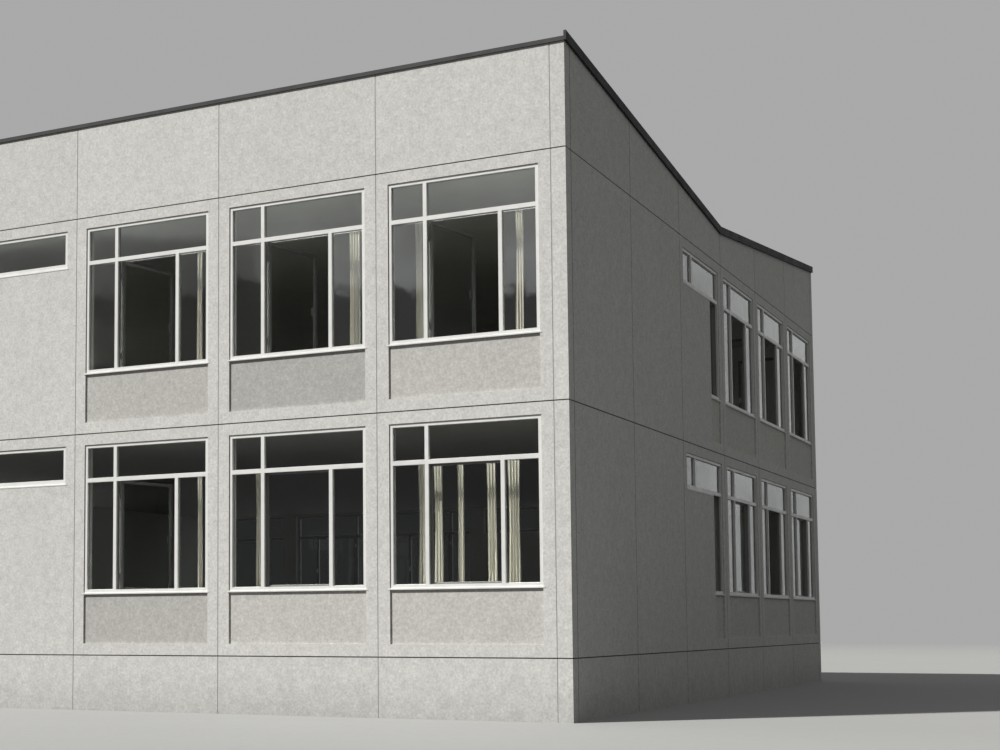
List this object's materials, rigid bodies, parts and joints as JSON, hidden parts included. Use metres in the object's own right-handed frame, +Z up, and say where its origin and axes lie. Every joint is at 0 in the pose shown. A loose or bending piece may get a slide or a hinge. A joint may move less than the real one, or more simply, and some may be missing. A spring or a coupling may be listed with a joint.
{
  "type": "school building",
  "caption": "Precast-panel school pavilion on a square plan, with flush window bays, recessed aprons and a butterfly roof.",
  "frame": {"origin": "centre of the plan, at ground level", "axes": "+Z up, -Y out of the front wall, +X out of the right-hand wall, the roof valley along X"},
  "size_m": [15.47, 15.44, 8.8072],
  "materials": {
    "wall_concrete": "fine washed concrete",
    "apron_concrete": "fine washed concrete",
    "floor_concrete": "trowelled",
    "window_paint": "white gloss paint",
    "sash_paint": "grey gloss paint",
    "sill_paint": "white paint",
    "window_glass": "clear float",
    "trim_metal": "dark satin",
    "roof_felt": "mineral felt",
    "gutter_zinc": "weathered zinc",
    "rail_metal": "satin",
    "curtain_fabric": "plain weave"
  },
  "bodies": {
    "root": {"back_glass": "window_glass", "back_left_corner": "wall_concrete", "back_lower_panels": "wall_concrete", "back_plinth": "wall_concrete", "back_right_corner": "wall_concrete", "back_roof_deck": "roof_felt", "back_top_panels": "wall_concrete", "back_upper_panels": "wall_concrete", "back_window_frames": "window_paint", "ceiling": "floor_concrete", "curtain_rails": "rail_metal", "curtains": "curtain_fabric", "front_glass": "window_glass", "front_left_corner": "wall_concrete", "front_lower_panels": "wall_concrete", "front_plinth": "wall_concrete", "front_right_corner": "wall_concrete", "front_roof_deck": "roof_felt", "front_top_panels": "wall_concrete", "front_upper_panels": "wall_concrete", "front_window_frames": "window_paint", "ground_floor": "floor_concrete", "left_glass": "window_glass", "left_lower_panels": "wall_concrete", "left_plinth": "wall_concrete", "left_top_panels": "wall_concrete", "left_upper_panels": "wall_concrete", "left_window_frames": "window_paint", "lower_aprons": "apron_concrete", "lower_sashes": "sash_paint", "lower_sills": "sill_paint", "right_glass": "window_glass", "right_lower_panels": "wall_concrete", "right_plinth": "wall_concrete", "right_top_panels": "wall_concrete", "right_upper_panels": "wall_concrete", "right_window_frames": "window_paint", "roof_edge_trim": "trim_metal", "upper_aprons": "apron_concrete", "upper_floor": "floor_concrete", "upper_sashes": "sash_paint", "upper_sills": "sill_paint", "valley_beam": "floor_concrete", "valley_gutter": "gutter_zinc", "window_hinges": "rail_metal"}
  },
  "joints": []
}
